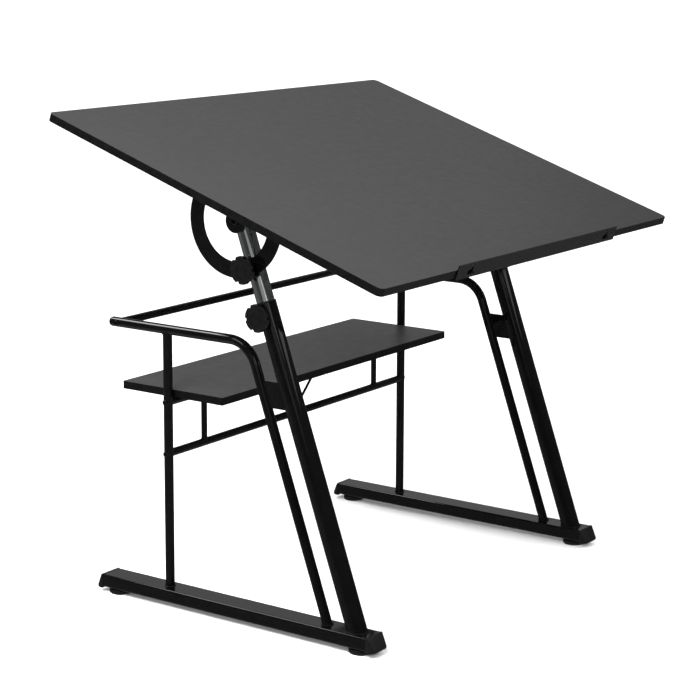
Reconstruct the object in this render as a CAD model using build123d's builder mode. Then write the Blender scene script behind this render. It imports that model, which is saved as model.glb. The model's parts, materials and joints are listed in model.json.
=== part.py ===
from build123d import *
import os
from math import cos, radians, sin

# Drafting table with a tilting top on two telescoping, leaning legs.
# Frame: +X to the user's right, -Y towards the user, +Z up, millimetres.
# The origin is on the floor, under the middle of the whole table's outline.

os.makedirs("parts", exist_ok=True)

SIDES = (("left", -1), ("right", 1))
ENDS = (("front", -1), ("rear", 1))

# Table top
table_width = 1066.8
table_depth = 792.0
board_thickness = 15.0
board_corner = 12.0
band_thickness = 1.0
band_rounding = 0.6
tilt = radians(18.6)  # slope of the top as it stands
board_offset = -4.0  # middle of the top, along the slope, from the pivot
pivot_to_underside = 49.0

# Side frames
side_x = 399.0  # middle plane of each side frame
foot_y = 46.14  # middle of the feet
foot_length = 634.0
foot_width = 50.0
foot_height = 25.0
foot_wall = 2.0
foot_bottom = 12.5
foot_top = foot_bottom + foot_height
cap_nose = 17.0
cap_insert = 14.0
cap_lip = 3.0  # the caps reach this far below the foot tubes
pad_radius = 23.0
pad_inset = 28.0  # leveller axis, in from the end of the foot tube
lean = radians(19.5)  # legs lean back from the vertical
leg_base_y = foot_y - 281.0
leg_radius = 19.05
leg_wall = 1.2
leg_length = 620.0
rail_base_y = foot_y - 214.0
rail_z = 544.5
rail_radius = 9.5
rail_wall = 1.5
rail_bend = 62.0
rail_rear_y = foot_y + 299.0
post_y = foot_y + 162.5
post_radius = 9.0
gusset_z = (427.0, 477.0)
gusset_thickness = 4.0

# Cross members and shelf
crossbar_y = foot_y + 283.0
crossbar_radius = 7.75
shelf_top = 426.0
shelf_width = 777.0
shelf_depth = 248.0
shelf_thickness = 15.0
shelf_rail_radius = 7.75
lower_rail_z = 302.0
tube_wall = 1.5
stub_x = 292.0
stub_radius = 6.0
brace_radius = 2.75
brace_foot_x = 5.0
thread_depth = 15.0  # solid, tapped end of each cross member

# Telescoping legs, pivots and clamps
inner_radius = 17.0
inner_wall = 1.5
inner_bottom = 300.0  # lower end of the inner leg, up the leg from the foot
pivot_s = 778.0  # pivot, up the leg from the foot
inner_top = pivot_s + 20.0
bush_length = 65.0
bush_flange = 3.0
clamp_s = 597.0  # height clamp, up the leg from the foot
ring_inner = 75.0
ring_outer = 105.0
ring_radius = (ring_inner + ring_outer) / 2
ear_radius = 22.0
plate = 3.0
plate_x = side_x + inner_radius + 3.5  # inner face of the tilt bracket
clamp_half = 19.0
clamp_width = 26.0
cheek = 3.5
stud_radius = 4.0
knob_radius = 26.5
knob_thickness = 15.0
knob_lobes = 6
notch_radius = 4.0
hub_height = 3.5
stud_cover = 4.0  # knob material over the stud's end

# Pencil ledge
ledge_length = 594.0
ledge_thickness = 2.0
ledge_below = 19.0  # from the top's surface down to the ledge's lower edge
ledge_above = 10.0
ledge_lip = 7.0
ledge_travel = 10.0
slot_x = 248.0
slot_radius = 2.7
slot_step = 12.0

gap = 0.3  # between surfaces of bodies that move apart
running = 0.05  # radial clearance of a shaft in its hole

bolt_radius = 3.0
screw_radius = 2.0

shelf_underside = shelf_top - shelf_thickness
upper_rail_z = shelf_underside - shelf_rail_radius
surface = pivot_to_underside + board_thickness  # top face, up from the pivot
front_edge = board_offset - table_depth / 2
leg_axis = Vector(0, sin(lean), cos(lean))
slope = Vector(0, cos(tilt), sin(tilt))
normal = Vector(0, -sin(tilt), cos(tilt))


def finish(part, node):
    """Label a finished piece and write its STEP file."""
    part.label = node
    export_step(part, f"parts/{node}.step")


def leg_point(side, s):
    """Point on a leg's axis, s up the leg from the top of the foot."""
    return Vector(side * side_x, leg_base_y, foot_top) + leg_axis * s


def leg_section(side, s):
    """Plane across a leg, its normal up the leg."""
    return Plane(origin=leg_point(side, s), x_dir=(1, 0, 0), z_dir=leg_axis)


def leg_face(side, s, x):
    """Plane across X at a leg, its x direction up the leg."""
    point = leg_point(side, s)
    return Plane(origin=(x, point.Y, point.Z), x_dir=leg_axis, z_dir=(1, 0, 0))


pivot = leg_point(0, pivot_s)


def table_face(x):
    """Plane across X at the pivot, its x direction up the slope."""
    return Plane(origin=(x, pivot.Y, pivot.Z), x_dir=slope, z_dir=(1, 0, 0))


def table_level(w):
    """Plane parallel to the top, w above the pivot, its y direction up the slope."""
    return Plane(origin=pivot + normal * w, x_dir=(1, 0, 0), z_dir=normal)


def low_x(side, inner, outer):
    """Lower X of a span given by its distances from the middle plane."""
    return min(side * inner, side * outer)


def bar(plane, radius, length, mode=Mode.ADD):
    """Round bar that starts on a plane, in the part being built."""
    with BuildSketch(plane) as section:
        Circle(radius)
    extrude(section.sketch, amount=length, mode=mode)


def along_x(y, z, radius, x0, x1, mode=Mode.ADD):
    """Round bar along X."""
    bar(Plane(origin=(x0, y, z), z_dir=(1, 0, 0)), radius, x1 - x0, mode)


def along_leg(side, radius, s0, s1, mode=Mode.ADD):
    """Round bar along a leg's axis."""
    bar(leg_section(side, s0), radius, s1 - s0, mode)


def round_z(x, y, radius, z0, z1, mode=Mode.ADD):
    """Upright round bar."""
    bar(Plane(origin=(x, y, z0), z_dir=(0, 0, 1)), radius, z1 - z0, mode)


def along_y(x, z, radius, y0, y1, mode=Mode.ADD):
    """Round bar along Y."""
    bar(Plane(origin=(x, y0, z), z_dir=(0, 1, 0)), radius, y1 - y0, mode)


# Feet: rectangular tubes, tapped for the levellers
for name, side in SIDES:
    with BuildPart() as foot:
        with BuildSketch(Plane.XZ.offset(-(foot_y - foot_length / 2))):
            with Locations((side * side_x, (foot_bottom + foot_top) / 2)):
                RectangleRounded(foot_width, foot_height, 3)
                RectangleRounded(
                    foot_width - 2 * foot_wall, foot_height - 2 * foot_wall, 1, mode=Mode.SUBTRACT
                )
        extrude(amount=-foot_length)
        for end in (-1, 1):
            pad_y = foot_y + end * (foot_length / 2 - pad_inset)
            round_z(side * side_x, pad_y, 5.5, foot_bottom, foot_bottom + foot_wall, Mode.SUBTRACT)
    finish(foot.part, f"foot_{name}")

# Foot caps: a plug in the tube and a nose that slopes out to the floor
for end_name, end in ENDS:
    for name, side in SIDES:
        tube_end = foot_y + end * foot_length / 2
        with BuildPart() as cap:
            with BuildSketch(Plane.YZ.offset(side * side_x)):
                with BuildLine():
                    Polyline(
                        (tube_end, foot_bottom - cap_lip),
                        (tube_end + end * (cap_nose - 2), foot_bottom - cap_lip),
                        (tube_end + end * cap_nose, foot_bottom + 1),
                        (tube_end + end * 3, foot_top - 0.5),
                        (tube_end, foot_top),
                        close=True,
                    )
                make_face()
            extrude(amount=foot_width / 2, both=True)
            corners = cap.edges().filter_by(lambda e: abs(e.tangent_at(0.5).X) < 0.1)
            nose = corners.filter_by(lambda e: abs(e.center().Y - tube_end) > 6)
            fillet([e for e in nose if e.center().Z > foot_bottom + 1], 5)
            insert_y = tube_end - end * cap_insert / 2
            with Locations((side * side_x, insert_y, (foot_bottom + foot_top) / 2)):
                Box(foot_width - 2 * foot_wall - 2, cap_insert, foot_height - 2 * foot_wall)
        finish(cap.part, f"foot_cap_{end_name}_{name}")

# Leveller nuts pressed into the underside of the feet
nut_spots = [
    (side * side_x, foot_y + end * (foot_length / 2 - pad_inset)) for side in (-1, 1) for end in (-1, 1)
]
with BuildPart() as leveler_nuts:
    for x, y in nut_spots:
        round_z(x, y, 5.5, foot_bottom, foot_bottom + foot_wall)
        round_z(x, y, 8, foot_bottom + foot_wall, foot_bottom + 12)
        round_z(x, y, stud_radius + running, foot_bottom, foot_bottom + 12, Mode.SUBTRACT)
finish(leveler_nuts.part, "leveler_nuts")

# Levellers: a round pad on a threaded stud
for end_name, end in ENDS:
    for name, side in SIDES:
        pad_y = foot_y + end * (foot_length / 2 - pad_inset)
        with BuildPart() as leveler:
            with BuildSketch(Plane(origin=(side * side_x, pad_y, 0), z_dir=(0, -1, 0), x_dir=(1, 0, 0))):
                with BuildLine():
                    Polyline((0, 0), (pad_radius - 2, 0), (pad_radius, 2.5), (pad_radius, 7))
                    Polyline(
                        (pad_radius, 7),
                        (pad_radius - 3, 10),
                        (9, foot_bottom - gap),
                        (stud_radius, foot_bottom - gap),
                        (stud_radius, 30),
                        (0, 30),
                        (0, 0),
                    )
                make_face()
            revolve(axis=Axis((side * side_x, pad_y, 0), (0, 0, 1)))
        finish(leveler.part, f"leveler_{end_name}_{name}")

# Outer legs: round tubes, cut level at the foot
for name, side in SIDES:
    with BuildPart() as outer_leg:
        along_leg(side, leg_radius, -40, leg_length)
        along_leg(side, leg_radius - leg_wall, -40, leg_length, Mode.SUBTRACT)
        split(bisect_by=Plane.XY.offset(foot_top), keep=Keep.TOP)
        bar(leg_face(side, clamp_s, side * side_x), stud_radius + 1, side * 30, Mode.SUBTRACT)
    finish(outer_leg.part, f"outer_leg_{name}")

# Height clamp bosses: tapped blocks welded to the outer face of each leg
boss_x = side_x + leg_radius + 4
with BuildPart() as clamp_bosses:
    for side in (-1, 1):
        boss_plane = leg_face(side, clamp_s, low_x(side, side_x, boss_x))
        bar(boss_plane, 9, boss_x - side_x)
        along_leg(side, leg_radius, clamp_s - 20, clamp_s + 20, Mode.SUBTRACT)
        bar(boss_plane, stud_radius + running, boss_x - side_x, Mode.SUBTRACT)
finish(clamp_bosses.part, "clamp_bosses")

# Leg bushes: plastic sleeves that guide the inner legs
with BuildPart() as leg_bushes:
    for side in (-1, 1):
        along_leg(side, leg_radius - leg_wall, leg_length - bush_length, leg_length)
        along_leg(side, leg_radius, leg_length, leg_length + bush_flange)
        along_leg(
            side, inner_radius + running, leg_length - bush_length, leg_length + bush_flange, Mode.SUBTRACT
        )
        bar(leg_face(side, clamp_s, side * side_x), stud_radius + 1, side * 30, Mode.SUBTRACT)
finish(leg_bushes.part, "leg_bushes")

# Side rails: one bent tube each, up beside the leg and back to the rear
rail_corner_y = rail_base_y + (rail_z - foot_top) * sin(lean) / cos(lean)
rail_start = Vector(0, rail_base_y, foot_top) - leg_axis * 25
for name, side in SIDES:
    with BuildPart() as side_rail:
        with BuildLine() as route:
            FilletPolyline(
                (side * side_x, rail_start.Y, rail_start.Z),
                (side * side_x, rail_corner_y, rail_z),
                (side * side_x, rail_rear_y, rail_z),
                radius=rail_bend,
            )
        with BuildSketch(Plane(origin=route.wire() @ 0, z_dir=leg_axis)):
            Circle(rail_radius)
            Circle(rail_radius - rail_wall, mode=Mode.SUBTRACT)
        sweep(path=route.wire())
        split(bisect_by=Plane.XY.offset(foot_top), keep=Keep.TOP)
        x0 = side * side_x - rail_radius
        along_x(crossbar_y, rail_z, bolt_radius, x0, x0 + 2 * rail_radius, Mode.SUBTRACT)
    finish(side_rail.part, f"side_rail_{name}")

# Plugs in the rear ends of the side rails
with BuildPart() as rail_plugs:
    for side in (-1, 1):
        along_y(side * side_x, rail_z, rail_radius - rail_wall, rail_rear_y - 12, rail_rear_y)
        with BuildSketch(Plane.XZ.offset(-rail_rear_y)):
            with Locations((side * side_x, rail_z)):
                Circle(rail_radius)
        extrude(amount=-3, taper=20)
finish(rail_plugs.part, "rail_end_plugs")

# Posts: upright tubes from the foot to the side rail
for name, side in SIDES:
    with BuildPart() as post:
        round_z(side * side_x, post_y, post_radius, foot_top, rail_z)
        round_z(side * side_x, post_y, post_radius - rail_wall, foot_top, rail_z, Mode.SUBTRACT)
        along_y(side * side_x, rail_z, rail_radius, post_y - 15, post_y + 15, Mode.SUBTRACT)
        x0 = side * side_x - post_radius
        for z in (upper_rail_z, lower_rail_z):
            along_x(post_y, z, bolt_radius, x0, x0 + 2 * post_radius, Mode.SUBTRACT)
    finish(post.part, f"post_{name}")

# Gussets: plates between each side rail and its leg
for name, side in SIDES:
    with BuildPart() as gusset:
        with BuildSketch(Plane.YZ.offset(side * side_x)):
            with BuildLine():
                Polyline(
                    (leg_base_y + (gusset_z[0] - foot_top) * sin(lean) / cos(lean), gusset_z[0]),
                    (rail_base_y + (gusset_z[0] - foot_top) * sin(lean) / cos(lean), gusset_z[0]),
                    (rail_base_y + (gusset_z[1] - foot_top) * sin(lean) / cos(lean), gusset_z[1]),
                    (leg_base_y + (gusset_z[1] - foot_top) * sin(lean) / cos(lean), gusset_z[1]),
                    close=True,
                )
            make_face()
        extrude(amount=gusset_thickness / 2, both=True)
        along_leg(side, leg_radius, 300, 600, Mode.SUBTRACT)
        rail_foot = Plane(origin=(side * side_x, rail_start.Y, rail_start.Z), z_dir=leg_axis)
        bar(rail_foot, rail_radius, 600, Mode.SUBTRACT)
    finish(gusset.part, f"gusset_{name}")

# Rear crossbar between the side rails, its ends shaped to the rails and tapped
with BuildPart() as rear_crossbar:
    along_x(crossbar_y, rail_z, crossbar_radius, -side_x, side_x)
    bore_end = side_x - rail_radius - thread_depth
    along_x(crossbar_y, rail_z, crossbar_radius - tube_wall, -bore_end, bore_end, Mode.SUBTRACT)
    along_x(crossbar_y, rail_z, bolt_radius, -side_x, side_x, Mode.SUBTRACT)
    for side in (-1, 1):
        along_y(side * side_x, rail_z, rail_radius, crossbar_y - 15, crossbar_y + 15, Mode.SUBTRACT)
finish(rear_crossbar.part, "rear_crossbar")


def cross_bolts(tube_radius, bolt_spots):
    """Button-head bolts along X, from outside each side frame's tube into a cross member."""
    for side in (-1, 1):
        head = side_x + tube_radius
        tip = side_x - tube_radius - thread_depth + 2
        for y, z in bolt_spots:
            along_x(y, z, bolt_radius, low_x(side, tip, head), low_x(side, tip, head) + head - tip)
            along_x(y, z, 5.5, low_x(side, head, head + 3), low_x(side, head, head + 3) + 3)


with BuildPart() as crossbar_bolts:
    cross_bolts(rail_radius, [(crossbar_y, rail_z)])
finish(crossbar_bolts.part, "crossbar_bolts")

with BuildPart() as shelf_frame_bolts:
    cross_bolts(post_radius, [(post_y, upper_rail_z), (post_y, lower_rail_z)])
finish(shelf_frame_bolts.part, "shelf_frame_bolts")

# Shelf frame: two rails between the posts, joined by stubs and braces
shelf_screw_x = (-330.0, -110.0, 110.0, 330.0)
for name, z in (("upper", upper_rail_z), ("lower", lower_rail_z)):
    with BuildPart() as shelf_rail:
        along_x(post_y, z, shelf_rail_radius, -side_x, side_x)
        along_x(post_y, z, shelf_rail_radius - tube_wall, -bore_end, bore_end, Mode.SUBTRACT)
        along_x(post_y, z, bolt_radius, -side_x, side_x, Mode.SUBTRACT)
        for side in (-1, 1):
            round_z(side * side_x, post_y, post_radius, z - 20, z + 20, Mode.SUBTRACT)
        if name == "upper":
            for x in shelf_screw_x:
                round_z(x, post_y, screw_radius, z - 10, z + 10, Mode.SUBTRACT)
    finish(shelf_rail.part, f"shelf_{name}_rail")

for name, side in SIDES:
    with BuildPart() as shelf_stub:
        round_z(side * stub_x, post_y, stub_radius, lower_rail_z, upper_rail_z)
        round_z(side * stub_x, post_y, stub_radius - tube_wall, lower_rail_z, upper_rail_z, Mode.SUBTRACT)
        for z in (lower_rail_z, upper_rail_z):
            along_x(post_y, z, shelf_rail_radius, side * stub_x - 10, side * stub_x + 10, Mode.SUBTRACT)
    finish(shelf_stub.part, f"shelf_stub_{name}")

brace_rise = upper_rail_z - lower_rail_z
for name, side in SIDES:
    with BuildPart() as shelf_brace:
        brace_origin = (side * (brace_foot_x - shelf_rail_radius), post_y, lower_rail_z)
        bar(Plane(origin=brace_origin, z_dir=(side, 0, 1)), brace_radius, brace_rise * 2**0.5)
        for z in (lower_rail_z, upper_rail_z):
            along_x(post_y, z, shelf_rail_radius, -150, 150, Mode.SUBTRACT)
    finish(shelf_brace.part, f"shelf_brace_{name}")

# Shelf board, its edge band and its screws
end_screw_y = (post_y - 100, post_y + 100)
end_screw_z = shelf_underside + shelf_thickness / 2
with BuildPart() as shelf_board:
    with BuildSketch(Plane.XY.offset(shelf_underside)):
        with Locations((0, post_y)):
            RectangleRounded(shelf_width - 2 * band_thickness, shelf_depth - 2 * band_thickness, 2)
    extrude(amount=shelf_thickness)
    for x in shelf_screw_x:
        round_z(x, post_y, screw_radius, shelf_underside, shelf_underside + 10, Mode.SUBTRACT)
    for y in end_screw_y:
        for x0 in (-shelf_width / 2, shelf_width / 2 - 12):
            along_x(y, end_screw_z, screw_radius, x0, x0 + 12, Mode.SUBTRACT)
finish(shelf_board.part, "shelf_board")

with BuildPart() as shelf_edge_band:
    with BuildSketch(Plane.XY.offset(shelf_underside)):
        with Locations((0, post_y)):
            RectangleRounded(shelf_width, shelf_depth, 3)
            RectangleRounded(
                shelf_width - 2 * band_thickness, shelf_depth - 2 * band_thickness, 2, mode=Mode.SUBTRACT
            )
    extrude(amount=shelf_thickness)
    for y in end_screw_y:
        along_x(y, end_screw_z, screw_radius, -shelf_width, shelf_width, Mode.SUBTRACT)
finish(shelf_edge_band.part, "shelf_edge_band")

with BuildPart() as shelf_screws:
    for x in shelf_screw_x:
        low = upper_rail_z - shelf_rail_radius
        round_z(x, post_y, screw_radius, low, shelf_underside + 10)
        round_z(x, post_y, 4, low - 2.5, low)
finish(shelf_screws.part, "shelf_screws")

with BuildPart() as shelf_end_screws:
    for side in (-1, 1):
        end_x = shelf_width / 2
        for y in end_screw_y:
            start = low_x(side, end_x - 12, end_x)
            along_x(y, end_screw_z, screw_radius, start, start + 12)
            start = low_x(side, end_x, end_x + 0.8)
            along_x(y, end_screw_z, 3.5, start, start + 0.8)
finish(shelf_end_screws.part, "shelf_end_screws")

# Inner legs: bright tubes that slide in the outer legs
for name, side in SIDES:
    with BuildPart() as inner_leg:
        along_leg(side, inner_radius, inner_bottom, inner_top)
        along_leg(side, inner_radius - inner_wall, inner_bottom, inner_top, Mode.SUBTRACT)
        x0 = side * side_x - inner_radius
        along_x(pivot.Y, pivot.Z, stud_radius, x0, x0 + 2 * inner_radius, Mode.SUBTRACT)
    finish(inner_leg.part, f"inner_leg_{name}")

with BuildPart() as inner_leg_caps:
    for side in (-1, 1):
        along_leg(side, inner_radius, inner_top, inner_top + 2)
        along_leg(side, inner_radius - inner_wall, inner_top - 8, inner_top)
finish(inner_leg_caps.part, "inner_leg_caps")

with BuildPart() as inner_leg_guides:
    for side in (-1, 1):
        along_leg(side, leg_radius - leg_wall - running, inner_bottom - 12, inner_bottom)
        along_leg(side, inner_radius - inner_wall, inner_bottom, inner_bottom + 20)
finish(inner_leg_guides.part, "inner_leg_guides")

# Tilt clamps: a block on each inner leg, with a channel for the bracket's ring
cheek_x = plate_x + plate + gap
block_x = cheek_x + cheek
tilt_s = pivot_s - ring_radius
for name, side in SIDES:
    with BuildPart() as tilt_clamp:
        start = low_x(side, side_x + 6, block_x)
        with BuildSketch(leg_face(side, tilt_s, start)):
            RectangleRounded(2 * clamp_half, clamp_width, 4)
        extrude(amount=block_x - side_x - 6)
        start = low_x(side, plate_x - gap, cheek_x)
        with BuildSketch(leg_face(side, tilt_s, start)):
            Rectangle(2 * clamp_half - 5, clamp_width)
        extrude(amount=cheek_x - plate_x + gap, mode=Mode.SUBTRACT)
        along_leg(side, inner_radius, tilt_s - 30, tilt_s + 30, Mode.SUBTRACT)
        cheek_plane = leg_face(side, tilt_s, low_x(side, cheek_x, block_x))
        bar(cheek_plane, stud_radius + running, cheek, Mode.SUBTRACT)
    finish(tilt_clamp.part, f"tilt_clamp_{name}")

# Pivot bolts, their nuts and the spacers that hold the brackets off the tubes
with BuildPart() as pivot_bolts:
    for side in (-1, 1):
        tip = side_x - inner_radius - 8
        start = low_x(side, tip, cheek_x)
        along_x(pivot.Y, pivot.Z, stud_radius, start, start + cheek_x - tip)
        start = low_x(side, cheek_x, cheek_x + 3.5)
        along_x(pivot.Y, pivot.Z, 8, start, start + 3.5)
finish(pivot_bolts.part, "pivot_bolts")

with BuildPart() as pivot_nuts:
    for side in (-1, 1):
        start = low_x(side, side_x - inner_radius - 6.5, side_x - inner_radius)
        with BuildSketch(Plane.YZ.offset(start)):
            with Locations((pivot.Y, pivot.Z)):
                RegularPolygon(7, 6)
                Circle(stud_radius, mode=Mode.SUBTRACT)
        extrude(amount=6.5)
finish(pivot_nuts.part, "pivot_nuts")

with BuildPart() as pivot_spacers:
    for side in (-1, 1):
        start = low_x(side, side_x + 8, plate_x - gap)
        along_x(pivot.Y, pivot.Z, 9, start, start + plate_x - gap - side_x - 8)
        along_leg(side, inner_radius, pivot_s - 20, pivot_s + 20, Mode.SUBTRACT)
        along_x(pivot.Y, pivot.Z, stud_radius, start, start + 20, Mode.SUBTRACT)
finish(pivot_spacers.part, "pivot_spacers")

# Tilt brackets: a ring and an ear in one plate, with a flange under the board
flange_width = 28.0
flange_screw_u = (-90.0, -45.0, 45.0, 90.0)
flange_screw_x = plate_x - flange_width / 2
for name, side in SIDES:
    with BuildPart() as tilt_bracket:
        with BuildSketch(table_face(low_x(side, plate_x, plate_x + plate))):
            Circle(ring_outer)
            Circle(ring_inner, mode=Mode.SUBTRACT)
            with Locations((0, ring_outer / 2)):
                Rectangle(2 * ring_outer, ring_outer, mode=Mode.SUBTRACT)
            with Locations((-ring_radius, pivot_to_underside / 2), (ring_radius, pivot_to_underside / 2)):
                Rectangle(ring_outer - ring_inner, pivot_to_underside)
            with Locations((0, pivot_to_underside - 7)):
                Rectangle(2 * ring_outer, 14)
            Circle(ear_radius)
            with Locations((0, pivot_to_underside / 2)):
                Rectangle(2 * ear_radius, pivot_to_underside)
            Circle(stud_radius + running, mode=Mode.SUBTRACT)
        extrude(amount=plate)
        with BuildSketch(table_level(pivot_to_underside - plate)):
            with Locations((side * (flange_screw_x + plate / 2), 0)):
                Rectangle(flange_width + plate, 2 * ring_outer)
            with Locations(*[(side * flange_screw_x, u) for u in flange_screw_u]):
                Circle(screw_radius, mode=Mode.SUBTRACT)
        extrude(amount=plate)
    finish(tilt_bracket.part, f"tilt_bracket_{name}")

with BuildPart() as bracket_screws:
    spots = [(side * flange_screw_x, u) for side in (-1, 1) for u in flange_screw_u]
    with BuildSketch(table_level(pivot_to_underside - plate - 2.5)):
        with Locations(*spots):
            Circle(4.5)
    extrude(amount=2.5)
    with BuildSketch(table_level(pivot_to_underside - plate)):
        with Locations(*spots):
            Circle(screw_radius)
    extrude(amount=plate + 10)
finish(bracket_screws.part, "bracket_screws")

# Table top: board with an edge band
ledge_screw_w = surface - board_thickness / 2
ledge_screw_x = (-slot_x, slot_x + slot_step)


def ledge_screw_plane(x, u):
    """Plane across a ledge screw's axis, its normal up the slope."""
    return Plane(origin=pivot + slope * u + normal * ledge_screw_w + Vector(x, 0, 0), z_dir=slope)


with BuildPart() as tabletop_board:
    with BuildSketch(table_level(pivot_to_underside)):
        with Locations((0, board_offset)):
            RectangleRounded(
                table_width - 2 * band_thickness,
                table_depth - 2 * band_thickness,
                board_corner - band_thickness,
            )
    extrude(amount=board_thickness)
    with BuildSketch(table_level(pivot_to_underside)):
        with Locations(*spots):
            Circle(screw_radius)
    extrude(amount=10, mode=Mode.SUBTRACT)
    for x in ledge_screw_x:
        bar(ledge_screw_plane(x, front_edge), screw_radius, 22, Mode.SUBTRACT)
finish(tabletop_board.part, "tabletop_board")

with BuildPart() as tabletop_edge_band:
    with BuildSketch(table_level(pivot_to_underside)):
        with Locations((0, board_offset)):
            RectangleRounded(table_width, table_depth, board_corner)
    extrude(amount=board_thickness)
    rims = tabletop_edge_band.faces().sort_by(Axis(pivot, normal))
    fillet(rims[-1].edges() + rims[0].edges(), band_rounding)
    with BuildSketch(table_level(pivot_to_underside)):
        with Locations((0, board_offset)):
            RectangleRounded(
                table_width - 2 * band_thickness,
                table_depth - 2 * band_thickness,
                board_corner - band_thickness,
            )
    extrude(amount=board_thickness, mode=Mode.SUBTRACT)
    for x in ledge_screw_x:
        bar(ledge_screw_plane(x, front_edge), screw_radius, 3, Mode.SUBTRACT)
finish(tabletop_edge_band.part, "tabletop_edge_band")

# Pencil ledge: a lipped plate that slides on two shoulder screws in hooked slots
ledge_back = front_edge - 0.4
ledge_face = ledge_back - ledge_thickness
with BuildPart() as pencil_ledge:
    with BuildSketch(table_face(-ledge_length / 2)):
        with BuildLine():
            Polyline(
                (ledge_face, surface - ledge_below),
                (ledge_back + ledge_lip, surface - ledge_below),
                (ledge_back + ledge_lip, surface - ledge_below + 1.5),
                (ledge_back, surface - ledge_below + 1.5),
                (ledge_back, surface + ledge_above),
                (ledge_face, surface + ledge_above),
                close=True,
            )
        make_face()
    extrude(amount=ledge_length)
    ledge_plane = Plane(origin=pivot + slope * ledge_face, x_dir=(1, 0, 0), z_dir=-slope)
    with BuildSketch(ledge_plane):
        for x in ledge_screw_x:
            low = ledge_screw_w - 2
            high = ledge_screw_w + ledge_travel + slot_radius
            with Locations((x, (low + high) / 2)):
                Rectangle(2 * slot_radius, high - low)
            with Locations((x - slot_step / 2, low)):
                SlotCenterToCenter(slot_step, 2 * slot_radius)
            with Locations((x - slot_step, low + 1.5)):
                SlotCenterToCenter(3, 2 * slot_radius, rotation=90)
    extrude(amount=-ledge_thickness, mode=Mode.SUBTRACT)
finish(pencil_ledge.part, "pencil_ledge")

with BuildPart() as ledge_screws:
    for x in ledge_screw_x:
        bar(ledge_screw_plane(x, ledge_face - gap - 2), 4.5, 2)
        bar(ledge_screw_plane(x, ledge_face - gap), slot_radius - 0.3, front_edge - ledge_face + gap)
        bar(ledge_screw_plane(x, front_edge), screw_radius, 20)
finish(ledge_screws.part, "ledge_screws")


def clamp_knob(side, s, base):
    """Lobed knob on a leg, its hub starting base out from the middle plane."""
    bar(leg_face(side, s, low_x(side, base, base + hub_height)), 10, hub_height)
    outer = base + hub_height + knob_thickness
    with BuildSketch(leg_face(side, s, low_x(side, base + hub_height, outer))) as lobes:
        Circle(knob_radius)
        with PolarLocations(knob_radius + 1, knob_lobes):
            Circle(notch_radius, mode=Mode.SUBTRACT)
    extrude(lobes.sketch, amount=knob_thickness)
    rim = faces().sort_by(Axis.X)[-1 if side > 0 else 0]
    chamfer(rim.edges(), 1.5)
    depth = outer - stud_cover - base
    bar(leg_face(side, s, low_x(side, base, base + depth)), stud_radius, depth, Mode.SUBTRACT)


def clamp_stud(side, s, tip, base):
    """Threaded stud moulded into a knob, from its tip to its end in the knob."""
    end = base + hub_height + knob_thickness - stud_cover
    bar(leg_face(side, s, low_x(side, tip, end)), stud_radius, end - tip)


for name, side in SIDES:
    with BuildPart() as height_knob:
        clamp_knob(side, clamp_s, boss_x + gap)
    finish(height_knob.part, f"height_knob_{name}")
    with BuildPart() as height_stud:
        clamp_stud(side, clamp_s, side_x + inner_radius + gap, boss_x + gap)
    finish(height_stud.part, f"height_stud_{name}")
    with BuildPart() as tilt_knob:
        clamp_knob(side, tilt_s, block_x + gap)
    finish(tilt_knob.part, f"tilt_knob_{name}")
    with BuildPart() as tilt_stud:
        clamp_stud(side, tilt_s, plate_x + plate + gap, block_x + gap)
    finish(tilt_stud.part, f"tilt_stud_{name}")
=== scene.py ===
import json
import math
import random

import bpy
from mathutils import Matrix, Vector


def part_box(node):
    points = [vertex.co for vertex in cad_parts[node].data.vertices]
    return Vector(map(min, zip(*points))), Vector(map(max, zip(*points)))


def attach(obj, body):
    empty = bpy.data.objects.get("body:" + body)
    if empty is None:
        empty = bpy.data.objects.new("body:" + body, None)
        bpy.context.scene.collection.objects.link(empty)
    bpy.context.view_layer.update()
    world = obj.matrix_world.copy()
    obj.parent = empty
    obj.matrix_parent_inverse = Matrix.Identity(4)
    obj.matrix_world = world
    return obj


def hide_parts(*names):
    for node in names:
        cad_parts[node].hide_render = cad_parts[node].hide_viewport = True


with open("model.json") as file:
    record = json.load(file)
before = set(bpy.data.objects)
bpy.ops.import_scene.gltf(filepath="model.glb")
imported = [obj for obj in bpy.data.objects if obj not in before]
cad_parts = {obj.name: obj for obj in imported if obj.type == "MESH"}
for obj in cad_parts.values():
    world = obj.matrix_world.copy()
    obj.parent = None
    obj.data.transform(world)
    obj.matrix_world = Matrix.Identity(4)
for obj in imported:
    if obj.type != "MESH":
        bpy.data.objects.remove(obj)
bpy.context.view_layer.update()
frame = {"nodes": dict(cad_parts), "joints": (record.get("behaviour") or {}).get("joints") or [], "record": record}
random.seed(7)
nodes = frame["nodes"]
joints = {j["name"]: j for j in frame["joints"]}


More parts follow.
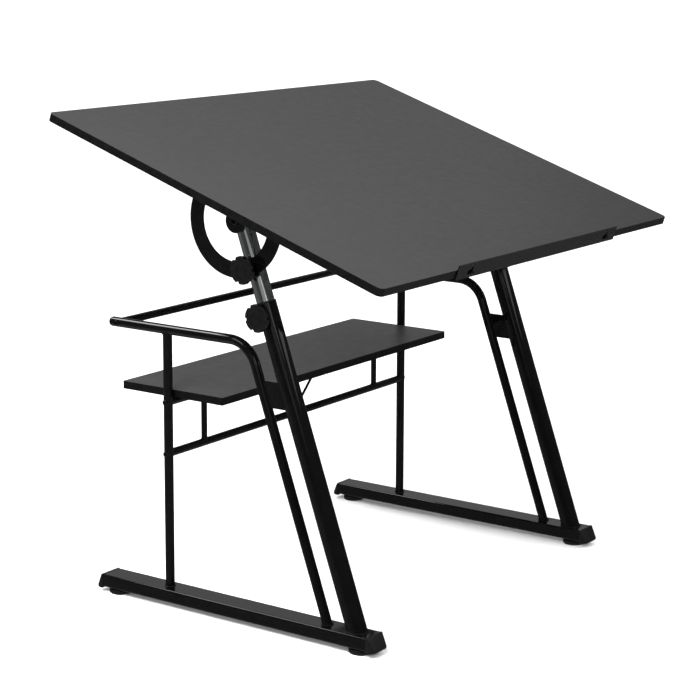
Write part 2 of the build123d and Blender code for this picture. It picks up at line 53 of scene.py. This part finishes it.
# ---------------------------------------------------------------- materials
class Graph:
    """Small helper that adds shader nodes to one material."""

    def __init__(self, name):
        self.material = bpy.data.materials.new(name)
        self.material.use_nodes = True
        self.tree = self.material.node_tree
        self.shader = self.tree.nodes["Principled BSDF"]
        self.coords = self.add("ShaderNodeTexCoord").outputs["Object"]

    def add(self, kind, **values):
        node = self.tree.nodes.new(kind)
        for key, value in values.items():
            setattr(node, key, value)
        return node

    def link(self, source, target):
        self.tree.links.new(source, target)

    def mapped(self, scale):
        node = self.add("ShaderNodeMapping")
        node.inputs["Scale"].default_value = scale
        self.link(self.coords, node.inputs["Vector"])
        return node.outputs["Vector"]

    def noise(self, scale, detail, roughness=0.55, vector=None):
        node = self.add("ShaderNodeTexNoise")
        node.inputs["Scale"].default_value = scale
        node.inputs["Detail"].default_value = detail
        node.inputs["Roughness"].default_value = roughness
        self.link(vector or self.coords, node.inputs["Vector"])
        return node.outputs["Fac"]

    def spread(self, value, low, high):
        """The middle of a noise pattern's range, stretched between two values."""
        node = self.add("ShaderNodeMapRange")
        node.inputs["From Min"].default_value = 0.3
        node.inputs["From Max"].default_value = 0.7
        node.inputs["To Min"].default_value = low
        node.inputs["To Max"].default_value = high
        self.link(value, node.inputs["Value"])
        return node.outputs["Result"]

    def blend(self, factor, first, second):
        node = self.add("ShaderNodeMix", data_type="RGBA")
        colours = [s for s in node.inputs if s.type == "RGBA"]
        colours[0].default_value = (*first, 1)
        colours[1].default_value = (*second, 1)
        self.link(factor, node.inputs["Factor"])
        return [s for s in node.outputs if s.type == "RGBA"][0]

    def total(self, first, second):
        node = self.add("ShaderNodeMath", operation="ADD")
        self.link(first, node.inputs[0])
        self.link(second, node.inputs[1])
        return node.outputs[0]

    def bump(self, height, strength, distance, previous=None):
        node = self.add("ShaderNodeBump")
        node.inputs["Strength"].default_value = strength
        node.inputs["Distance"].default_value = distance
        self.link(height, node.inputs["Height"])
        if previous:
            self.link(previous, node.inputs["Normal"])
        return node.outputs["Normal"]

    def set(self, **values):
        for key, value in values.items():
            socket = self.shader.inputs[key.replace("_", " ")]
            if hasattr(value, "is_output"):
                self.link(value, socket)
            else:
                socket.default_value = value

    def mottled(self, pattern, dark, light):
        """Base colour that wanders between two tones."""
        self.set(Base_Color=self.blend(self.spread(pattern, 0, 1), dark, light))


def enamel():
    """Glossy black enamel with a little orange peel and dust."""
    g = Graph("black_enamel")
    g.mottled(g.noise(38, 6), (0.0006, 0.0006, 0.00065), (0.0014, 0.0014, 0.0015))
    g.set(Roughness=g.spread(g.noise(9, 5), 0.05, 0.09))
    peel = g.bump(g.noise(420, 2), 0.03, 0.0003)
    g.set(Normal=g.bump(g.noise(60, 3), 0.05, 0.0006, peel))
    return g.material


def plastic(name, light, rough, gloss):
    """Satin moulded black plastic with a fine spark-eroded grain."""
    g = Graph(name)
    dark = tuple(c * 0.65 for c in light)
    g.set(Specular_IOR_Level=gloss)
    g.mottled(g.noise(55, 5), dark, light)
    g.set(Roughness=g.spread(g.noise(24, 5), rough - 0.07, rough + 0.08))
    grain = g.bump(g.noise(1900, 3, 0.6), 0.28, 0.00025)
    g.set(Normal=g.bump(g.noise(140, 3), 0.06, 0.0004, grain))
    return g.material


def chrome():
    """Chrome plated tube with faint drawn lines and handling marks."""
    g = Graph("chrome_plate")
    g.set(Metallic=1.0)
    g.mottled(g.noise(30, 4), (0.52, 0.53, 0.54), (0.62, 0.63, 0.64))
    lines = g.noise(260, 4, 0.6, g.mapped((1, 1, 0.03)))
    g.set(Roughness=g.spread(g.noise(16, 6), 0.09, 0.16))
    g.set(Normal=g.bump(lines, 0.05, 0.0003))
    return g.material


def plated(name, tone):
    """Plated fastener steel."""
    g = Graph(name)
    dark = tuple(c * 0.7 for c in tone)
    g.set(Metallic=1.0)
    g.mottled(g.noise(300, 4), dark, tone)
    g.set(Roughness=g.spread(g.noise(180, 4), 0.28, 0.45))
    g.set(Normal=g.bump(g.noise(900, 3), 0.12, 0.0002))
    return g.material


def laminate():
    """Dark grey board face: fine pitted print with a faint long grain."""
    g = Graph("grey_laminate")
    grain = g.noise(34, 7, 0.62, g.mapped((0.35, 5.0, 5.0)))
    speck = g.noise(950, 3, 0.6)
    cloud = g.noise(4.5, 3)
    fine = g.total(g.spread(grain, 0, 0.42), g.spread(speck, 0, 0.42))
    tone = g.total(fine, g.spread(cloud, 0, 0.16))
    g.set(Base_Color=g.blend(tone, (0.0245, 0.0245, 0.0255), (0.0325, 0.0325, 0.0335)))
    g.set(Roughness=g.spread(g.noise(60, 5), 0.38, 0.44))
    pits = g.bump(speck, 0.16, 0.0002)
    g.set(Normal=g.bump(grain, 0.02, 0.0002, pits))
    return g.material


def edge_band():
    """Black plastic edging."""
    g = Graph("edge_band")
    g.mottled(g.noise(80, 5), (0.0011, 0.0011, 0.0011), (0.0024, 0.0024, 0.0024))
    g.set(Roughness=g.spread(g.noise(40, 4), 0.3, 0.42), Specular_IOR_Level=0.28)
    g.set(Normal=g.bump(g.noise(900, 3), 0.1, 0.0002))
    return g.material


paints = {
    "black_paint": enamel(),
    "black_plastic": plastic("black_plastic", (0.003, 0.003, 0.0032), 0.38, 0.5),
    "zinc_steel": plated("zinc_plate", (0.6, 0.6, 0.58)),
    "black_steel": plated("black_oxide", (0.05, 0.05, 0.052)),
    "chrome": chrome(),
    "grey_laminate": laminate(),
    "edge_band": edge_band(),
}
knob_paint = plastic("knob_plastic", (0.0022, 0.0022, 0.0023), 0.36, 0.42)
slots = {s["node"]: s["material_slot"] for s in frame["record"]["subparts"]}
for name, node in nodes.items():
    node.data.materials.clear()
    node.data.materials.append(paints[slots[name]])


# ---------------------------------------------------------------- shapes
MM = 0.001
X_AXIS, Z_AXIS = Vector((1, 0, 0)), Vector((0, 0, 1))
leg_axis = Vector(joints["height_slide"]["axis"]).normalized()
normal = Vector(joints["ledge_slide"]["axis"]).normalized()
slope = X_AXIS.cross(normal) * -1
SIDES = (("left", -1), ("right", 1))
LEG_RADIUS, RAIL_RADIUS, POST_RADIUS = 19.05 * MM, 9.5 * MM, 9.0 * MM


def solid(name, vertices, faces, body, slot, replaces=(), corner=40, paint=None):
    """One piece of the object from plain mesh data, shaded smooth up to a corner angle in degrees."""
    mesh = bpy.data.meshes.new(name)
    mesh.from_pydata([tuple(v) for v in vertices], [], faces)
    mesh.validate()
    mesh.polygons.foreach_set("use_smooth", [True] * len(mesh.polygons))
    mesh.materials.append(paint or paints[slot])
    piece = bpy.data.objects.new(name, mesh)
    bpy.context.collection.objects.link(piece)
    mesh.set_sharp_from_angle(angle=math.radians(corner))
    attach(piece, body)
    if replaces:
        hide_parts(*replaces)
    return piece


def sides_of(axis):
    """Two unit vectors square to an axis and to each other."""
    axis = axis.normalized()
    helper = Z_AXIS if abs(axis.z) < 0.9 else X_AXIS
    first = helper.cross(axis).normalized()
    return first, axis.cross(first)


def in_mm(pairs):
    """Radius and height pairs in metres, from millimetres."""
    return [(radius * MM, height * MM) for radius, height in pairs]


def circle(count):
    """Equally spaced angles round a circle."""
    return [2 * math.pi * k / count for k in range(count)]


def skin(rings, around, closed=False):
    """Faces over rings of vertices, capped at both ends unless the last ring meets the first."""
    faces = []
    for k in range(rings if closed else rings - 1):
        n = (k + 1) % rings
        for i in range(around):
            j = (i + 1) % around
            faces.append((k * around + i, k * around + j, n * around + j, n * around + i))
    if not closed:
        faces.append(tuple(reversed(range(around))))
        faces.append(tuple(range((rings - 1) * around, rings * around)))
    return faces


def turned(origin, axis, rings, count, first=None):
    """Closed shape from rings about an axis, each a radius, or its function of the angle, and a height."""
    u, v = sides_of(axis)
    if first:
        u = first.normalized()
        v = axis.cross(u).normalized()
    vertices = []
    for radius, height in rings:
        for angle in circle(count):
            r = radius(angle) if callable(radius) else radius
            vertices.append(origin + axis * height + (u * math.cos(angle) + v * math.sin(angle)) * r)
    return vertices, skin(len(rings), count)


def joined(parts):
    """One set of vertices and faces from several."""
    vertices, faces = [], []
    for more_vertices, more_faces in parts:
        start = len(vertices)
        vertices += more_vertices
        faces += [tuple(i + start for i in f) for f in more_faces]
    return vertices, faces


def islands(node):
    """Box of each separate solid of a CAD node; corners within 0.01 mm count as one."""
    mesh = nodes[node].data
    keys = [tuple(round(c * 1e5) for c in v.co) for v in mesh.vertices]
    parent = {k: k for k in keys}

    def root(k):
        while parent[k] != k:
            parent[k] = parent[parent[k]]
            k = parent[k]
        return k

    for polygon in mesh.polygons:
        ring = [keys[i] for i in polygon.vertices]
        for other in ring[1:]:
            parent[root(other)] = root(ring[0])
    groups = {}
    for k in parent:
        groups.setdefault(root(k), []).append(k)
    boxes = []
    for points in groups.values():
        low = Vector([min(p[a] for p in points) for a in range(3)]) * 1e-5
        high = Vector([max(p[a] for p in points) for a in range(3)]) * 1e-5
        boxes.append((low, high))
    return sorted(boxes, key=lambda b: tuple(b[0]))


def swept(points, radius, closed, around):
    """Round bead along points, its radius a function of the point's index."""
    vertices = []
    count = len(points)
    side = None
    for i, point in enumerate(points):
        before = points[i - 1] if i or closed else point
        after = points[(i + 1) % count] if i < count - 1 or closed else point
        along = (after - before).normalized()
        side = side or sides_of(along)[0]
        side = (side - along * side.dot(along)).normalized()
        other = along.cross(side)
        for angle in circle(around):
            vertices.append(point + (side * math.cos(angle) + other * math.sin(angle)) * radius(i))
    return vertices, skin(count, around, closed)


def weld(points, size, closed=False):
    """Weld bead along points: a row of overlapping ripples of uneven size."""
    spacing, per_lump = 0.35 * size, 5
    dense = []
    count = len(points)
    for i in range(count if closed else count - 1):
        start, end = points[i], points[(i + 1) % count]
        steps = max(1, round((end - start).length / spacing))
        dense += [start.lerp(end, k / steps) for k in range(steps)]
    if not closed:
        dense.append(points[-1])
    phase = random.uniform(0, 6)
    lumps = [random.uniform(0.88, 1.12) for _ in range(len(dense) // per_lump + 2)]

    def radius(i):
        taper = 1.0 if closed else min(1.0, 0.45 + 0.12 * min(i, len(dense) - 1 - i))
        ripple = 1 + 0.13 * math.sin(i * 1.25 + phase)
        return size * taper * lumps[i // per_lump] * ripple

    return swept(dense, radius, closed, 10)


# ---------------------------------------------------------------- knobs
def notched(scale):
    """Radius of a lobed knob's outline at a share of its full size, with a narrow notch between lobes."""
    full, lobes = 26.5 * MM, 6
    depth, half_width, rim = 3.4 * MM, 3.6 * MM, 0.35 * MM

    def radius(angle):
        offset = (angle * lobes / (2 * math.pi) + 0.5) % 1 - 0.5
        reach = abs(offset) * 2 * math.pi / lobes * full / half_width
        dip = max(0.0, 1 - reach * reach) ** 0.5 if reach < 1 else 0.0
        swell = rim * math.exp(-((reach - 1.55) ** 2) / 0.12)
        return full * scale - depth * dip * min(1.0, scale * scale) + swell * scale

    return radius


def knob(kind, name, side):
    """Lobed clamp knob with a flanged hub, a dished face and a press-in cap."""
    node = f"{kind}_knob_{name}"
    low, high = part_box(node)
    outward = X_AXIS * side
    base = Vector((low.x if side > 0 else high.x, (low.y + high.y) / 2, (low.z + high.z) / 2))
    hub = [(10.0, 0.0), (10.6, 0.6), (10.6, 1.6), (9.6, 2.4), (9.6, 3.2)]
    lobed = [(0.76, 3.5), (0.84, 3.6), (0.87, 4.4), (0.895, 6.0), (0.94, 9.0), (0.985, 12.0)]
    lobed += [(1.0, 13.6), (1.0, 15.0), (0.985, 16.2), (0.955, 17.1), (0.91, 17.8)]
    lobed += [(0.85, 18.2), (0.78, 18.45), (0.66, 18.5), (0.56, 18.3), (0.50, 17.9)]
    cap = [(11.4, 17.7), (11.2, 17.0), (10.6, 17.0), (10.4, 17.6)]
    cap += [(10.0, 18.0), (8.2, 18.3), (4.0, 18.45)]
    rings = in_mm(hub) + [(notched(scale), height * MM) for scale, height in lobed] + in_mm(cap)
    twist = 0.35
    first = leg_axis * math.cos(twist) + outward.cross(leg_axis) * math.sin(twist)
    shape = turned(base, outward, rings, 192, first)
    solid(f"{node}_grip", *shape, node, "black_plastic", [node], corner=50, paint=knob_paint)


for name, side in SIDES:
    knob("height", name, side)
    knob("tilt", name, side)


# ---------------------------------------------------------------- levellers and foot caps
def pad(end, name):
    """Leveller: ribbed round pad with a domed top, and its stud."""
    node = f"leveler_{end}_{name}"
    low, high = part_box(node)
    centre = Vector(((low.x + high.x) / 2, (low.y + high.y) / 2, 0))

    def ribbed(radius):
        return lambda angle: radius * MM - 0.45 * MM * max(0.0, math.cos(40 * angle)) ** 3

    underside = [(2, 0.9), (14, 0.9), (15, 0.0), (20.6, 0.0), (21.8, 0.5), (22.6, 1.6)]
    dome = [(22.7, 7.6), (21.6, 8.8), (20, 9.6), (17, 10.2)]
    neck = [(13.5, 10.7), (12.6, 11.2), (12.2, 12.1), (4.0, 12.15)]
    rings = in_mm(underside) + [(ribbed(23), height * MM) for height in (2.4, 4.5, 6.8)]
    rings += in_mm(dome + neck)
    rings.append((4.0 * MM, high.z))
    shape = turned(centre, Z_AXIS, rings, 240)
    solid(f"{node}_pad", *shape, node, "black_plastic", [node], corner=35)


def foot_cap(end, name):
    """Moulded end cap: sloping nose rounded in plan, a lip under the tube and a thin collar."""
    node = f"foot_cap_{end}_{name}"
    low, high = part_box(node)
    direction = -1 if end == "front" else 1
    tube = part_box(f"foot_{name}")[0 if direction < 0 else 1].y
    nose = abs((low if direction < 0 else high).y - tube)
    middle = (low.x + high.x) / 2
    half = (high.x - low.x) / 2 + 0.4 * MM
    top, bottom = high.z + 0.4 * MM, low.z
    back = -0.5 * MM
    steps = 8

    def outline(reach, corner, z):
        """Ring at height z that reaches past the tube's end, with its two outer corners rounded."""
        side = [(half, back)]
        for k in range(steps + 1):
            a = math.pi / 2 * k / steps
            side.append((half - corner * (1 - math.cos(a)), reach - corner * (1 - math.sin(a))))
        places = [(-x, y) for x, y in side] + side[::-1]
        return [Vector((middle + x, tube + direction * y, z)) for x, y in places]

    rings = [
        outline(nose - 3.5 * MM, 9 * MM, bottom),
        outline(nose - 1.4 * MM, 10.5 * MM, bottom + 0.7 * MM),
        outline(nose - 0.3 * MM, 11 * MM, bottom + 2.2 * MM),
        outline(nose - 0.1 * MM, 11 * MM, bottom + 4.4 * MM),
    ]
    for t in (0.15, 0.35, 0.55, 0.75, 0.92):
        reach = nose + (3.4 * MM - nose) * t
        corner = min(11 * MM * (1 - 0.72 * t), reach - back)
        rings.append(outline(reach, corner, bottom + (4.4 * MM + (top - bottom - 5.4 * MM) * t)))
    rings.append(outline(2.6 * MM, 2.4 * MM, top - 0.25 * MM))
    rings.append(outline(1.6 * MM, 1.6 * MM, top))
    vertices = [v for ring in rings for v in ring]
    faces = skin(len(rings), len(rings[0]))
    if direction < 0:
        faces = [tuple(reversed(f)) for f in faces]
    solid(f"{node}_nose", vertices, faces, "frame", "black_plastic", [node], 50)


for end in ("front", "rear"):
    for name, _ in SIDES:
        pad(end, name)
        foot_cap(end, name)


# ---------------------------------------------------------------- fasteners
def hex_recess(across):
    """Radius of a hexagonal socket."""

    def radius(angle):
        turn = angle % (math.pi / 3) - math.pi / 6
        return across / 2 / math.cos(turn)

    return radius


def button_head(seat, outward, radius, height):
    """Domed head with a hexagon socket."""
    rings = [(radius * 0.96, 0.0), (radius, 0.12 * height), (radius * 0.97, 0.4 * height)]
    rings += [(radius * 0.86, 0.72 * height), (radius * 0.68, 0.93 * height), (radius * 0.56, height)]
    across = radius * 0.82
    rings += [(hex_recess(across * 1.06), height * 0.99), (hex_recess(across), height * 0.9)]
    rings += [(hex_recess(across * 0.97), height * 0.35), (radius * 0.2, height * 0.3)]
    return turned(seat, outward, rings, 72)


def rod(start, end, radius):
    """Plain shank between two points."""
    axis = (end - start).normalized()
    rings = [(radius * 0.9, 0), (radius, radius * 0.2), (radius, (end - start).length)]
    return turned(start, axis, rings, 32)


def bolts_along_x(node, body, slot, head_radius, head_height, shank_radius):
    """The bolts of a node that lie along X, heads outward."""
    parts = []
    for low, high in islands(node):
        side = 1 if low.x + high.x > 0 else -1
        y, z = (low.y + high.y) / 2, (low.z + high.z) / 2
        outer = high.x if side > 0 else low.x
        inner = low.x if side > 0 else high.x
        seat = Vector((outer - side * head_height, y, z))
        parts.append(button_head(seat, X_AXIS * side, head_radius, head_height * 1.1))
        parts.append(rod(Vector((inner, y, z)), seat, shank_radius))
    solid(f"{node}_set", *joined(parts), body, slot, [node], corner=35)


bolts_along_x("crossbar_bolts", "frame", "black_steel", 5.5 * MM, 3 * MM, 3 * MM)
bolts_along_x("shelf_frame_bolts", "frame", "black_steel", 5.5 * MM, 3 * MM, 3 * MM)
bolts_along_x("shelf_end_screws", "frame", "black_steel", 3.5 * MM, 0.8 * MM, 2 * MM)
bolts_along_x("pivot_bolts", "lift", "black_steel", 8 * MM, 3.5 * MM, 4 * MM)


def screws_along(node, body, slot, axis, head_radius, head_height, shank_radius, length):
    """The screws of a node with a common axis, which points out of their heads."""
    parts = []
    for low, high in islands(node):
        centre = (low + high) / 2
        seat = centre + axis * (length / 2)
        parts.append(button_head(seat, axis, head_radius, head_height))
        parts.append(rod(seat - axis * length, seat, shank_radius))
    solid(f"{node}_set", *joined(parts), body, slot, [node], corner=35)


screws_along("bracket_screws", "top", "zinc_steel", -normal, 4.5 * MM, 2.5 * MM, 2 * MM, 13.5 * MM)
screws_along("shelf_screws", "frame", "zinc_steel", -Z_AXIS, 4 * MM, 2.5 * MM, 2 * MM, 22 * MM)
screws_along("ledge_screws", "top", "black_steel", -slope, 4.5 * MM, 2 * MM, 2.3 * MM, 22.7 * MM)


# ---------------------------------------------------------------- welds
def ring_on_foot(node, radius, lean):
    """Points round a tube where it meets the top of its foot."""
    low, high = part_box(node)
    foot_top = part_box("foot_left")[1].z
    stretch = 1 / math.cos(lean)
    y = low.y + radius * stretch if lean else (low.y + high.y) / 2
    x = (low.x + high.x) / 2
    out = radius + 0.4 * MM
    return [
        Vector((x + out * math.cos(a), y + out * stretch * math.sin(a), foot_top + 0.3 * MM))
        for a in circle(72)
    ]


def frame_welds(name):
    """Welds of one side frame: three tubes on the foot, the post under the rail, and the gusset."""
    lean = math.atan2(leg_axis.y, leg_axis.z)
    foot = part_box(f"foot_{name}")
    x = (foot[0].x + foot[1].x) / 2
    parts = [
        weld(ring_on_foot(f"outer_leg_{name}", LEG_RADIUS, lean), 1.7 * MM, True),
        weld(ring_on_foot(f"side_rail_{name}", RAIL_RADIUS, lean), 1.5 * MM, True),
        weld(ring_on_foot(f"post_{name}", POST_RADIUS, 0), 1.5 * MM, True),
    ]
    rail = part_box(f"side_rail_{name}")
    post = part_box(f"post_{name}")
    post_y = (post[0].y + post[1].y) / 2
    rail_z = rail[1].z - RAIL_RADIUS
    rail_square = 90.3e-6
    saddle = []
    for a in circle(60):
        dx, dy = POST_RADIUS * math.cos(a), POST_RADIUS * math.sin(a)
        z = rail_z - (rail_square - dx * dx) ** 0.5 - 0.3 * MM
        saddle.append(Vector((x + dx * 1.03, post_y + dy * 1.04, z)))
    parts.append(weld(saddle, 1.3 * MM, True))
    low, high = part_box(f"gusset_{name}")
    leg_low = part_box(f"outer_leg_{name}")[0]
    stretch = 1 / leg_axis.z
    for offset, radius, turn in ((leg_low.y, LEG_RADIUS, 1), (rail[0].y, RAIL_RADIUS, -1)):
        base_y = offset + radius * stretch
        for face in (-1, 1):
            points = []
            for t in (0.02, 0.98):
                z = low.z + (high.z - low.z) * t
                axis_y = base_y + (z - leg_low.z) * leg_axis.y / leg_axis.z
                points.append(Vector((x + face * 2.1 * MM, axis_y + turn * radius * stretch * 0.995, z)))
            parts.append(weld(points, 1.5 * MM))
    solid(f"frame_welds_{name}", *joined(parts), "frame", "black_paint", corner=60)


for name, _ in SIDES:
    frame_welds(name)


def shelf_welds():
    """Welds between the shelf rails, their stubs and their braces."""
    parts = []
    upper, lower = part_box("shelf_upper_rail"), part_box("shelf_lower_rail")
    radius = (upper[1].z - upper[0].z) / 2
    stub_radius = 6.1 * MM
    y = (upper[0].y + upper[1].y) / 2
    for name, side in SIDES:
        low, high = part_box(f"shelf_stub_{name}")
        x = (low.x + high.x) / 2
        for centre, turn in (((upper[0].z + upper[1].z) / 2, -1), ((lower[0].z + lower[1].z) / 2, 1)):
            ring = []
            for a in circle(48):
                dx, dy = stub_radius * math.cos(a), stub_radius * math.sin(a)
                rise = (radius * radius - dy * dy) ** 0.5 + 0.2 * MM
                ring.append(Vector((x + dx, y + dy, centre + turn * rise)))
            parts.append(weld(ring, 1.1 * MM, True))
        low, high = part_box(f"shelf_brace_{name}")
        for x, z in (
            ((low.x if side > 0 else high.x) + side * 1.5 * MM, low.z + 1.2 * MM),
            ((high.x if side > 0 else low.x) - side * 1.5 * MM, high.z - 1.2 * MM),
        ):
            ring = [Vector((x + 4.2 * MM * math.cos(a), y + 2.9 * MM * math.sin(a), z)) for a in circle(32)]
            parts.append(weld(ring, 0.9 * MM, True))
    solid("shelf_frame_welds", *joined(parts), "frame", "black_paint", corner=60)


shelf_welds()


# ---------------------------------------------------------------- stage
def ground():
    """Plain pale floor."""
    mesh = bpy.data.meshes.new("floor")
    far = 400
    mesh.from_pydata([(-far, -far, 0), (far, -far, 0), (far, far, 0), (-far, far, 0)], [], [(0, 1, 2, 3)])
    floor = bpy.data.objects.new("floor", mesh)
    bpy.context.collection.objects.link(floor)
    g = Graph("pale_floor")
    g.set(Base_Color=(0.93, 0.93, 0.93, 1), Roughness=0.9, Specular_IOR_Level=0.0)
    mesh.materials.append(g.material)
    floor.visible_glossy = False


def softbox(name, place, target, size, power, mirrored=True):
    """Rectangular area light aimed at a point; one that isn't mirrored shows in no gloss."""
    light = bpy.data.lights.new(name, "AREA")
    light.shape = "RECTANGLE"
    light.size, light.size_y = size
    light.energy = power
    lamp = bpy.data.objects.new(name, light)
    bpy.context.collection.objects.link(lamp)
    lamp.location = place
    lamp.rotation_mode = "QUATERNION"
    lamp.rotation_quaternion = (Vector(target) - Vector(place)).to_track_quat("-Z", "Y")
    lamp.visible_camera = False
    lamp.visible_glossy = mirrored


def surroundings():
    """White backdrop for the camera, bright even fill, and a dim room for reflections."""
    world = bpy.data.worlds.new("studio")
    bpy.context.scene.world = world
    world.use_nodes = True
    tree = world.node_tree
    tree.nodes.clear()

    def background(strength):
        node = tree.nodes.new("ShaderNodeBackground")
        node.inputs["Color"].default_value = (1, 1, 1, 1)
        node.inputs["Strength"].default_value = strength
        return node

    path = tree.nodes.new("ShaderNodeLightPath")
    seen, fill, mirror = background(1.0), background(1.45), background(0.1)
    direction = tree.nodes.new("ShaderNodeTexCoord")
    split = tree.nodes.new("ShaderNodeSeparateXYZ")
    height = tree.nodes.new("ShaderNodeMapRange")
    height.inputs["From Min"].default_value = -1
    fade = tree.nodes.new("ShaderNodeValToRGB")
    # brightness of the mirrored room, from straight down (0) to straight up (1)
    stops = ((0.0, 0.4), (0.15, 0.36), (0.33, 0.12), (0.37, 0.14))
    stops += ((0.46, 0.06), (0.54, 0.05), (0.6, 0.08), (1.0, 0.1))
    ramp = fade.color_ramp
    while len(ramp.elements) < len(stops):
        ramp.elements.new(0.5)
    for element, (place, level) in zip(ramp.elements, stops):
        element.position = place
        element.color = (level, level, level, 1)
    inner = tree.nodes.new("ShaderNodeMixShader")
    outer = tree.nodes.new("ShaderNodeMixShader")
    out = tree.nodes.new("ShaderNodeOutputWorld")
    tree.links.new(direction.outputs["Generated"], split.inputs[0])
    tree.links.new(split.outputs["Z"], height.inputs["Value"])
    tree.links.new(height.outputs["Result"], fade.inputs["Fac"])
    tree.links.new(fade.outputs["Color"], mirror.inputs["Strength"])
    tree.links.new(path.outputs["Is Glossy Ray"], inner.inputs[0])
    tree.links.new(fill.outputs[0], inner.inputs[1])
    tree.links.new(mirror.outputs[0], inner.inputs[2])
    tree.links.new(path.outputs["Is Camera Ray"], outer.inputs[0])
    tree.links.new(inner.outputs[0], outer.inputs[1])
    tree.links.new(seen.outputs[0], outer.inputs[2])
    tree.links.new(outer.outputs[0], out.inputs["Surface"])


ground()
surroundings()
softbox("overhead", (-0.75, 2.1, 2.95), (-0.4, 0.1, 0.55), (1.3, 0.8), 26)
softbox("left_box", (-1.7, 0.0, 1.75), (-0.3, 0, 0.85), (1.2, 1.2), 84, mirrored=False)
softbox("left_panel", (-2.2, 0.8, 2.4), (-0.2, 0, 0.8), (1.2, 1.2), 8)
softbox("front_window", (0.66, -2.3, 1.95), (-0.3, -0.05, 0.7), (2.4, 1.3), 11)
softbox("front_strip", (-1.8, -2.12, 1.8), (-0.4, -0.05, 0.6), (0.8, 1.0), 2.6)
softbox("camera_panel", (-3.07, -1.41, 1.35), (-0.4, -0.05, 0.7), (1.8, 1.0), 1.7)
softbox("back_panel", (3.1, 1.6, 2.6), (0, 0, 0.8), (2.2, 1.4), 2.1)
softbox("low_panel", (3.3, 2.4, 1.45), (0, 0, 0.1), (2.4, 1.3), 2.7)


# ---------------------------------------------------------------- camera
def camera():
    """Long lens from the front left, a little above the table."""
    place = (-3.2225, -2.2097, 1.2993)
    yaw, pitch, roll = (math.radians(a) for a in (56.550, -9.840, 0.557))
    ahead = Vector((math.sin(yaw) * math.cos(pitch), math.cos(yaw) * math.cos(pitch), math.sin(pitch)))
    right = Vector((math.cos(yaw), -math.sin(yaw), 0))
    up = right.cross(ahead)
    across = right * math.cos(roll) + up * math.sin(roll)
    above = up * math.cos(roll) - right * math.sin(roll)
    data = bpy.data.cameras.new("camera")
    data.lens = 101.99
    data.sensor_width = 36
    data.shift_x = -0.0873
    data.shift_y = -0.1113
    data.clip_end = 100
    eye = bpy.data.objects.new("camera", data)
    bpy.context.collection.objects.link(eye)
    turn = Matrix((across, above, -ahead)).transposed()
    eye.matrix_world = Matrix.Translation(place) @ turn.to_4x4()
    bpy.context.scene.camera = eye


camera()
scene = bpy.context.scene
scene.view_settings.view_transform = "Standard"
scene.view_settings.look = "None"
